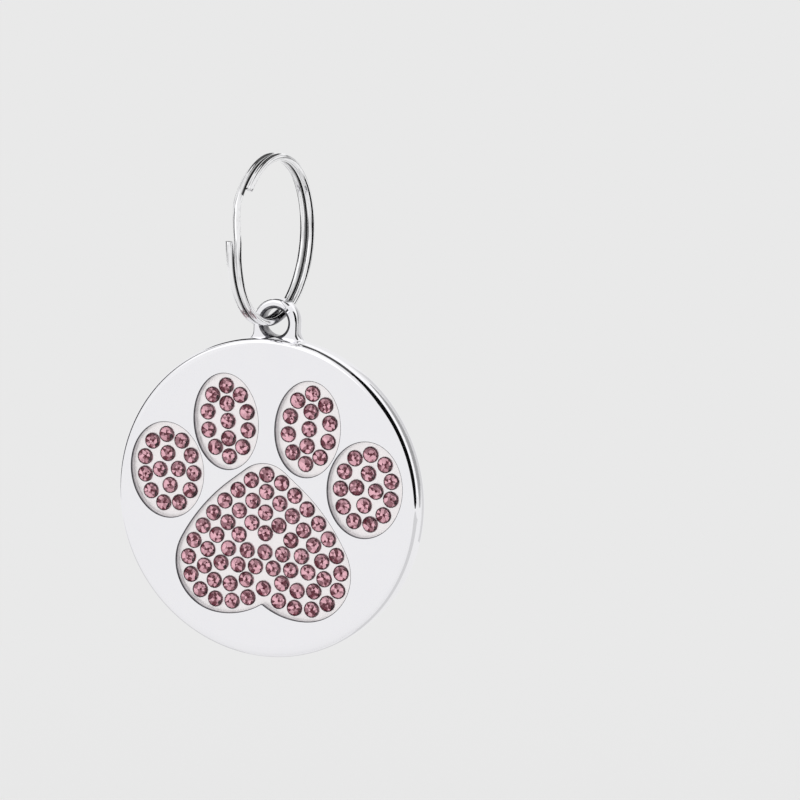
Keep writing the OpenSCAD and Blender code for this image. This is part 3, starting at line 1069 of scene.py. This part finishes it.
def pale_floor():
    f = Finish("pale_floor")
    where = f.node("ShaderNodeTexCoord", {}, {}, "Object")
    away = f.node("ShaderNodeVectorMath", {"operation": "LENGTH"}, {0: where}, "Value")
    near = f.node("ShaderNodeBsdfDiffuse", {}, {"Color": grey(FLOOR_COLOUR)})
    seen = f.node("ShaderNodeLightPath", {}, {}, "Is Camera Ray")
    far = f.node("ShaderNodeEmission", {}, {"Color": f.blend(seen, grey(ROOM), grey(GROUND))})
    fade = f.fitted(away, *FADE, 0.0, 1.0)
    return f.show(f.node("ShaderNodeMixShader", {}, {0: fade, 1: near, 2: far}))


def floor():
    bm = bmesh.new()
    bmesh.ops.create_grid(bm, x_segments=1, y_segments=1, size=FLOOR_SIZE / 2)
    obj = as_object("floor", bm, [pale_floor()])
    obj.location = (0, 0, disc_low.z - FLOOR_DROP)


def world():
    made = bpy.data.worlds.new("studio")
    scene.world = made
    made.use_nodes = True
    tree = made.node_tree
    path = tree.nodes.new("ShaderNodeLightPath")
    level = tree.nodes.new("ShaderNodeMapRange")
    level.inputs["To Min"].default_value = ROOM
    level.inputs["To Max"].default_value = GROUND
    tree.links.new(path.outputs["Is Camera Ray"], level.inputs["Value"])
    tree.links.new(level.outputs["Result"], tree.nodes["Background"].inputs["Color"])


floor()
world()
print("ground level", GROUND)

# %% [markdown]
# The camera stands where the photographer stood: a little to the right of the front and
# slightly above, about forty centimetres away, with a long lens. It points past the disc,
# because in the photograph the tag hangs left of the middle.

# %% Camera
AZIMUTH = math.radians(23.2)
ELEVATION = math.radians(10.6)
ROLL = math.radians(-1.66)
DISTANCE = 0.4
PHOTO_SIDE = 800
PIXELS_PER_MM = 10.758
DISC_PIXEL = (270.4, 496.6)
SENSOR = 36.0
NEAREST = 0.01

right = Vector((math.cos(AZIMUTH), math.sin(AZIMUTH), 0))
back = Vector((
    math.sin(AZIMUTH) * math.cos(ELEVATION),
    -math.cos(AZIMUTH) * math.cos(ELEVATION),
    math.sin(ELEVATION),
))
up = back.cross(right)
photo_right = math.cos(ROLL) * right - math.sin(ROLL) * up
photo_up = math.sin(ROLL) * right + math.cos(ROLL) * up
across = (PHOTO_SIDE / 2 - DISC_PIXEL[0]) / PIXELS_PER_MM * MM
above = (DISC_PIXEL[1] - PHOTO_SIDE / 2) / PIXELS_PER_MM * MM

stand = disc_centre + DISTANCE * back
aim = disc_centre + across * photo_right + above * photo_up
backwards = (stand - aim).normalized()
sideways = (photo_right - photo_right.dot(backwards) * backwards).normalized()
upwards = backwards.cross(sideways)

camera_data = bpy.data.cameras.new("camera")
camera_data.sensor_width = SENSOR
camera_data.lens = SENSOR * DISTANCE / (PHOTO_SIDE / PIXELS_PER_MM * MM)
camera_data.clip_start = NEAREST
camera = bpy.data.objects.new("camera", camera_data)
facing = Matrix((sideways, upwards, backwards)).transposed().to_4x4()
camera.matrix_world = Matrix.Translation(stand) @ facing
scene.collection.objects.link(camera)
scene.camera = camera
print(f"lens {camera_data.lens:.1f} mm")

# %% [markdown]
# Bright metal only shows what stands round it. A pale room alone would leave it flat, so
# two large soft lamps, one high at the left and one behind, give it broad white bands.

# %% Lamps


def soft_lamp(name, direction, distance, width, height, brightness):
    """Aimed at the disc from a direction; brightness is the level that a mirror shows."""
    lamp = bpy.data.lights.new(name, "AREA")
    lamp.shape = "RECTANGLE"
    lamp.size = width
    lamp.size_y = height
    lamp.energy = brightness * math.pi * width * height
    obj = bpy.data.objects.new(name, lamp)
    place = disc_centre + distance * Vector(direction).normalized()
    obj.location = place
    obj.rotation_euler = (disc_centre - place).to_track_quat("-Z", "Y").to_euler()
    scene.collection.objects.link(obj)


soft_lamp("high_lamp", (-0.32, -0.75, 0.60), distance=0.5, width=0.34, height=0.60, brightness=0.28)
soft_lamp("far_lamp", (0.10, 0.50, 0.85), distance=0.6, width=0.40, height=0.40, brightness=0.30)
print("lamps placed")

# %% [markdown]
# The lines that draw the metal's edges come from cards, as in a photographer's studio. A
# place in the room shows in the rounded rim where the rim's slope mirrors the camera's line
# of sight into it, so each card is planned on the rim: from which angle to which, and
# between which slopes, the rim should take the card's grey. The cards show in reflections
# alone, so they take no light away.

# %% Cards
CARD_COLUMNS = 5
CARD_ROWS = 4
eye_rim = (tag_place @ Vector((0, eye_y, eye_front)), EYE_R * MM)


def seen_by_way_of(point, angle, slope):
    """Where the camera looks by way of a point of a rim, from its angle and slope."""
    a, s = math.radians(angle), math.radians(slope)
    normal = Vector((math.cos(a) * math.sin(s), -math.cos(s), math.sin(a) * math.sin(s)))
    view = (stand - point).normalized()
    return 2 * normal.dot(view) * normal - view


def card(name, level, distance, stops, centre=disc_centre, radius=disc_r * MM):
    """A card of a grey level, at a distance in metres from a rim.

    Each stop is an angle round the rim with the slopes between which the card shows there."""
    f = Finish(name)
    finish = f.show(f.node("ShaderNodeEmission", {}, {"Color": grey(level), "Strength": 1.0}))
    spans = (len(stops) - 1) * CARD_COLUMNS
    bm = bmesh.new()
    bmesh.ops.create_grid(bm, x_segments=spans, y_segments=CARD_ROWS, size=0.5)
    for vert in bm.verts:
        along, up = (vert.co.x + 0.5) * (len(stops) - 1), vert.co.y + 0.5
        i = min(int(along), len(stops) - 2)
        angle, low, high = Vector(stops[i]).lerp(Vector(stops[i + 1]), along - i)
        point = centre + Matrix.Rotation(math.radians(-angle), 3, "Y") @ Vector((radius, 0, 0))
        vert.co = point + distance * seen_by_way_of(point, angle, low + (high - low) * up)
    made = as_object(name, bm, [finish])
    made.visible_camera = False
    made.visible_diffuse = False
    made.visible_shadow = False


card("dark_card_right", 0.004, 0.016, (
    (2, 60, 66), (4, 48, 80), (12, 42, 84), (22, 40, 84.5), (32, 38, 84.5), (42, 30, 84), (50, 44, 82.5),
    (57, 54, 79),
))
card("dim_card_above", 0.07, 0.125, (
    (55.5, 50, 81), (62, 55, 83), (72, 64, 86), (84, 54, 85), (92, 54, 80), (97, 62, 66),
))
card("white_card_behind", 1.0, 0.130, (
    (6, 85, 88.5), (20, 85.8, 88.6), (32, 86.3, 88.7), (42, 86.6, 88.8), (50, 86, 89), (60, 85.4, 89.5),
    (78, 88, 90),
))
card("grey_card_behind", 0.34, 0.135, (
    (2, 89, 89.6), (10, 88.7, 90.9), (25, 88.8, 91.0), (40, 88.9, 90.6), (50, 89.2, 89.8),
))
card("pale_card_behind", 0.66, 0.140, (
    (-55, 91.6, 91.7), (-30, 91, 92), (-15, 90.6, 93), (10, 91, 95), (30, 91.1, 95), (45, 90.7, 94),
    (60, 90.2, 90.4),
))
card("dark_card_left", 0.02, 0.120, (
    (106, 28, 29), (120, 24, 31), (135, 20, 33), (150, 16, 34), (165, 16, 33), (176, 19, 28),
    (186, 23, 24),
))
card("white_card_left", 0.88, 0.125, (
    (98, 2.4, 5), (112, 1.8, 9), (130, 1.8, 9), (145, 2.2, 7), (155, 2.6, 4),
))
card("grey_card_low", 0.64, 0.035, (
    (192, 22, 23), (210, 22, 50), (240, 24, 52), (262, 26, 64), (285, 36, 74), (320, 40, 80), (345, 42, 84),
    (358, 44, 88), (361, 60, 70),
))
card("dark_card_eye_left", 0.01, 0.015, (
    (94, 56, 60), (104, 50, 74), (130, 46, 70), (150, 44, 56),
), *eye_rim)
print("cards placed")
